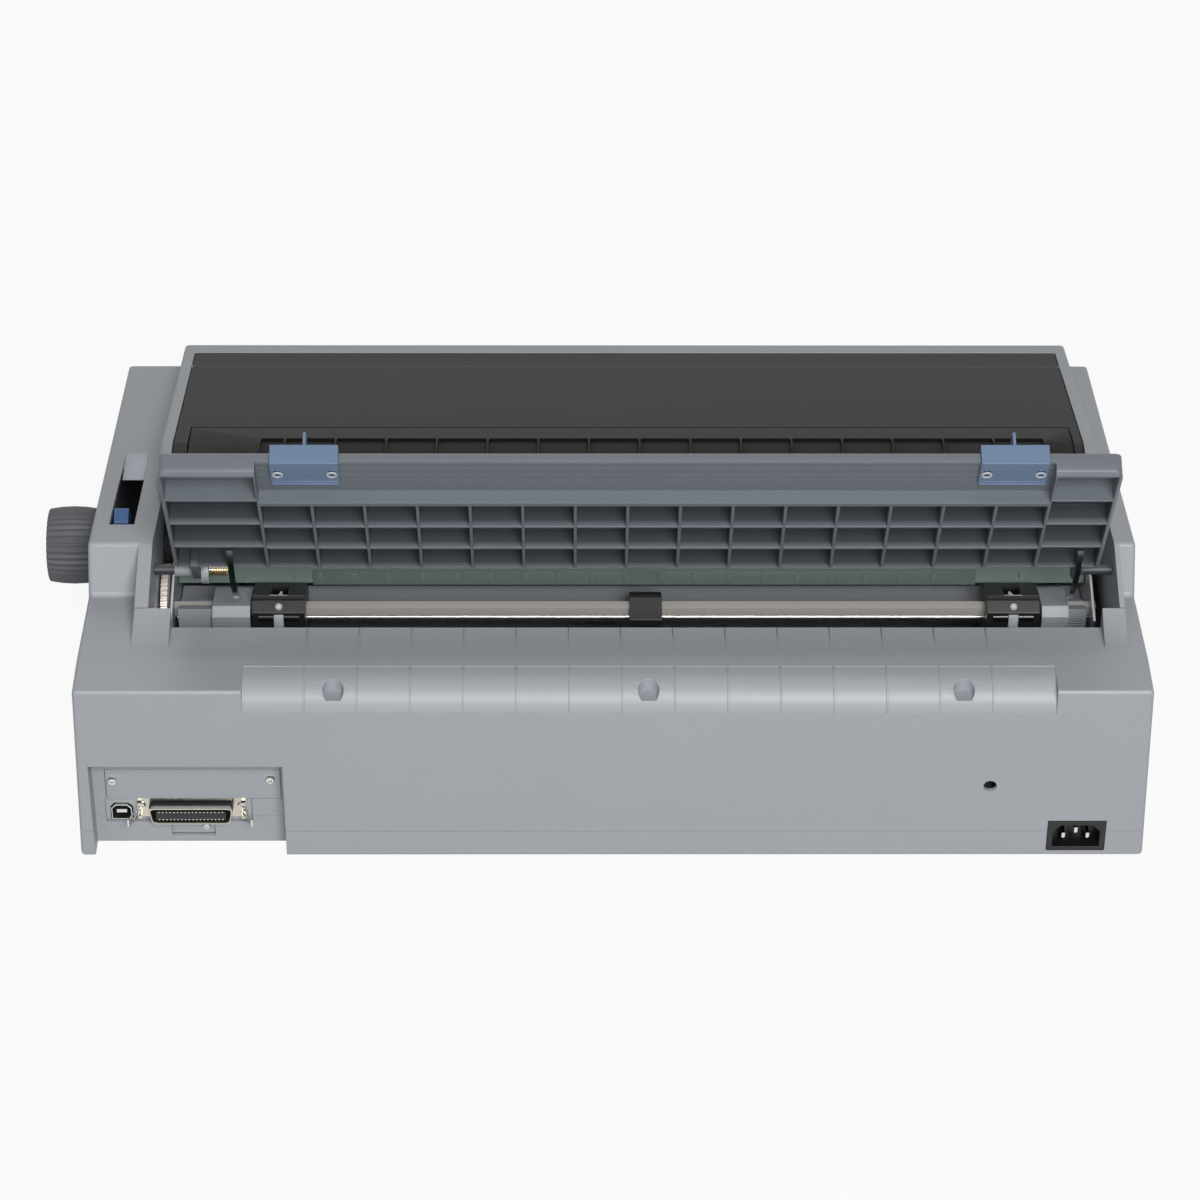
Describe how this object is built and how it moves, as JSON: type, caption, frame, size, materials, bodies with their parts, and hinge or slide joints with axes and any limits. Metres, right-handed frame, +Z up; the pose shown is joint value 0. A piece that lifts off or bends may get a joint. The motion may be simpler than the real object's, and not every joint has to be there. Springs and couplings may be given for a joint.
{
  "type": "dot matrix printer",
  "caption": "Wide-carriage dot matrix printer with a pin-feed bay, a raised sheet guide, a smoked hinged cover, a platen knob and rear sockets.",
  "frame": {"origin": "bottom centre of the overall box, on the floor under the feet", "axes": "+X along the long side towards the platen knob, +Y towards the rear wall with the sockets, +Z up"},
  "size_m": [0.6449, 0.402, 0.2617],
  "materials": {
    "case_grey": "fine grain, warm light grey",
    "guide_grey": "fine grain, darker grey",
    "panel_grey": "smooth",
    "light_grey": "satin",
    "dark_grey": "satin",
    "knob_grey": "ribbed, satin",
    "button_grey": "satin",
    "guide_blue": "satin",
    "lever_blue": "satin",
    "smoked_clear": "smoked, see-through",
    "green_clear": "tinted",
    "black_plastic": "satin",
    "rubber": "matt",
    "natural_acetal": "satin",
    "zinc_steel": "zinc plated sheet",
    "ground_steel": "ground",
    "nickel": "nickel plated",
    "bright_plate": "bright plated",
    "cast_aluminium": "cast, matt",
    "brass": "turned",
    "board_green": "glass-fibre board"
  },
  "bodies": {
    "case": {"lower_case": "case_grey", "upper_case": "case_grey", "foot_rear_knob_side": "rubber", "foot_rear_far_side": "rubber", "foot_front_knob_side": "rubber", "foot_front_far_side": "rubber", "side_frame_knob_side": "zinc_steel", "side_frame_far_side": "zinc_steel", "feed_motor": "black_plastic", "rear_paper_plate": "green_clear", "lower_paper_plate": "dark_grey", "tractor_end_block_knob_side": "light_grey", "tractor_end_block_far_side": "light_grey", "tractor_support_shaft": "ground_steel", "carriage_shaft": "ground_steel", "carriage_front_rail": "zinc_steel", "carriage_motor": "black_plastic", "carriage_belt": "black_plastic", "ribbon_cartridge": "black_plastic", "connector_bracket": "zinc_steel", "slot_cover_plate": "case_grey", "usb_socket": "bright_plate", "parallel_socket": "nickel", "mains_inlet": "black_plastic", "control_panel": "panel_grey", "main_board": "board_green", "power_supply_board": "board_green"},
    "platen": {"platen_roller": "rubber", "platen_knob": "knob_grey"},
    "feed_idler": {"feed_idler_gear": "natural_acetal"},
    "feed_pinion": {"feed_motor_pinion": "brass"},
    "tractor_drive": {"tractor_drive_shaft": "nickel"},
    "tractor_knob_side": {"tractor_body_knob_side": "black_plastic"},
    "tractor_far_side": {"tractor_body_far_side": "black_plastic"},
    "sprocket_knob_side": {"tractor_sprocket_knob_side": "natural_acetal"},
    "sprocket_far_side": {"tractor_sprocket_far_side": "natural_acetal"},
    "tractor_lid_knob_side": {"tractor_cover_knob_side": "black_plastic"},
    "tractor_lid_far_side": {"tractor_cover_far_side": "black_plastic"},
    "lock_knob_side": {"tractor_lock_knob_side": "lever_blue"},
    "lock_far_side": {"tractor_lock_far_side": "lever_blue"},
    "paper_support_slider": {"paper_support": "black_plastic"},
    "print_carriage": {"carriage": "black_plastic", "print_head": "cast_aluminium"},
    "belt_pulley": {"carriage_pulley": "brass"},
    "ribbon_winder": {"ribbon_knob": "natural_acetal"},
    "cover": {"printer_cover": "case_grey", "cover_window": "smoked_clear"},
    "flap": {"exit_flap": "smoked_clear", "exit_foam_strip": "black_plastic"},
    "guide": {"sheet_guide": "guide_grey"},
    "edge_knob_side": {"edge_guide_knob_side": "guide_blue"},
    "edge_far_side": {"edge_guide_far_side": "guide_blue"},
    "lever": {"release_lever": "lever_blue"},
    "bail_near": {"bail_knob_side": "bright_plate"},
    "bail_far": {"bail_far_side": "bright_plate"},
    "key_1": {"button_1": "button_grey"},
    "key_2": {"button_2": "button_grey"},
    "key_3": {"button_3": "button_grey"},
    "switch": {"power_switch_rocker": "black_plastic"},
    "slot_door": {"front_cover": "case_grey"}
  },
  "joints": [
    {"name": "platen_spin", "type": "hinge", "parent": "case", "child": "platen", "pos_m": [-0.014, 0.031, 0.104], "axis": [1, 0, 0], "continuous": true},
    {"name": "idler_spin", "type": "hinge", "parent": "case", "child": "feed_idler", "pos_m": [-0.014, 0.01379, 0.07943], "axis": [1, 0, 0], "continuous": true},
    {"name": "pinion_spin", "type": "hinge", "parent": "case", "child": "feed_pinion", "pos_m": [-0.014, 0.00462, 0.06632], "axis": [1, 0, 0], "continuous": true},
    {"name": "tractor_drive_spin", "type": "hinge", "parent": "case", "child": "tractor_drive", "pos_m": [-0.014, 0.07359, 0.08799], "axis": [1, 0, 0], "continuous": true},
    {"name": "tractor_knob_side_slide", "type": "slide", "parent": "case", "child": "tractor_knob_side", "axis": [1, 0, 0], "range_m": [-0.16, 0.001]},
    {"name": "tractor_far_side_slide", "type": "slide", "parent": "case", "child": "tractor_far_side", "axis": [1, 0, 0], "range_m": [-0.001, 0.16]},
    {"name": "sprocket_knob_side_spin", "type": "hinge", "parent": "tractor_knob_side", "child": "sprocket_knob_side", "pos_m": [0.1825, 0.07359, 0.08799], "axis": [1, 0, 0], "continuous": true},
    {"name": "sprocket_far_side_spin", "type": "hinge", "parent": "tractor_far_side", "child": "sprocket_far_side", "pos_m": [-0.2515, 0.07359, 0.08799], "axis": [1, 0, 0], "continuous": true},
    {"name": "lid_knob_side_hinge", "type": "hinge", "parent": "tractor_knob_side", "child": "tractor_lid_knob_side", "pos_m": [0.198, 0.0688, 0.09934], "axis": [0, 0.9451, 0.3268], "range_deg": [0, 100]},
    {"name": "lid_far_side_hinge", "type": "hinge", "parent": "tractor_far_side", "child": "tractor_lid_far_side", "pos_m": [-0.267, 0.0688, 0.09934], "axis": [0, -0.9451, -0.3268], "range_deg": [0, 100]},
    {"name": "lock_knob_side_turn", "type": "hinge", "parent": "tractor_knob_side", "child": "lock_knob_side", "pos_m": [0.195, 0.0655, 0.0759], "axis": [1, 0, 0], "range_deg": [-50, 0]},
    {"name": "lock_far_side_turn", "type": "hinge", "parent": "tractor_far_side", "child": "lock_far_side", "pos_m": [-0.264, 0.0655, 0.0759], "axis": [1, 0, 0], "range_deg": [-50, 0]},
    {"name": "paper_support_slide", "type": "slide", "parent": "case", "child": "paper_support_slider", "axis": [1, 0, 0], "range_m": [-0.02, 0.02]},
    {"name": "carriage_slide", "type": "slide", "parent": "case", "child": "print_carriage", "axis": [1, 0, 0], "range_m": [-0.33, 0.068]},
    {"name": "pulley_spin", "type": "hinge", "parent": "case", "child": "belt_pulley", "pos_m": [0.208, -0.057, 0.0555], "axis": [0, 0, 1], "continuous": true},
    {"name": "ribbon_knob_spin", "type": "hinge", "parent": "case", "child": "ribbon_winder", "pos_m": [0.182, -0.11, 0.1033], "axis": [0, 0, 1], "continuous": true},
    {"name": "cover_hinge", "type": "hinge", "parent": "case", "child": "cover", "pos_m": [-0.014, 0.03, 0.1445], "axis": [1, 0, 0], "range_deg": [-70, 0]},
    {"name": "exit_flap_hinge", "type": "hinge", "parent": "cover", "child": "flap", "pos_m": [-0.014, -0.0207, 0.15235], "axis": [1, 0, 0], "range_deg": [0, 80]},
    {"name": "guide_tilt", "type": "hinge", "parent": "case", "child": "guide", "pos_m": [-0.014, 0.097, 0.133], "axis": [1, 0, 0], "range_deg": [-60.5, 0]},
    {"name": "edge_knob_side_slide", "type": "slide", "parent": "guide", "child": "edge_knob_side", "axis": [1, 0, 0], "range_m": [-0.15, 0.008]},
    {"name": "edge_far_side_slide", "type": "slide", "parent": "guide", "child": "edge_far_side", "axis": [1, 0, 0], "range_m": [-0.003, 0.15]},
    {"name": "lever_turn", "type": "hinge", "parent": "case", "child": "lever", "pos_m": [0.275, 0.031, 0.104], "axis": [1, 0, 0], "range_deg": [0, 52]},
    {"name": "bail_knob_side_turn", "type": "hinge", "parent": "case", "child": "bail_near", "pos_m": [0.26, 0.1875, 0.0264], "axis": [0, 0, 1], "range_deg": [0, 48]},
    {"name": "bail_far_side_turn", "type": "hinge", "parent": "case", "child": "bail_far", "pos_m": [0.2, 0.1875, 0.0264], "axis": [0, 0, 1], "range_deg": [-48, 0]},
    {"name": "key_1_press", "type": "slide", "parent": "case", "child": "key_1", "axis": [0, 0.5971, -0.8022], "range_m": [0, 0.001], "stiffness_N_per_m": 400, "springref_m": -0.0005},
    {"name": "key_2_press", "type": "slide", "parent": "case", "child": "key_2", "axis": [0, 0.5971, -0.8022], "range_m": [0, 0.001], "stiffness_N_per_m": 400, "springref_m": -0.0005},
    {"name": "key_3_press", "type": "slide", "parent": "case", "child": "key_3", "axis": [0, 0.5971, -0.8022], "range_m": [0, 0.001], "stiffness_N_per_m": 400, "springref_m": -0.0005},
    {"name": "switch_rock", "type": "hinge", "parent": "case", "child": "switch", "pos_m": [-0.276, -0.1975, 0.0435], "axis": [1, 0, 0], "range_deg": [0, 8]},
    {"name": "slot_door_hinge", "type": "hinge", "parent": "case", "child": "slot_door", "pos_m": [-0.014, -0.1999, 0.0325], "axis": [1, 0, 0], "range_deg": [0, 85]}
  ],
  "couplings": [
    {"joint": "idler_spin", "follows": "platen_spin", "ratio": -2},
    {"joint": "pinion_spin", "follows": "platen_spin", "ratio": 3.3333},
    {"joint": "tractor_drive_spin", "follows": "platen_spin", "ratio": -0.78431},
    {"joint": "sprocket_knob_side_spin", "follows": "platen_spin", "ratio": -0.78431},
    {"joint": "sprocket_far_side_spin", "follows": "platen_spin", "ratio": -0.78431},
    {"joint": "pulley_spin", "follows": "carriage_slide", "rad_per_m": 137}
  ]
}
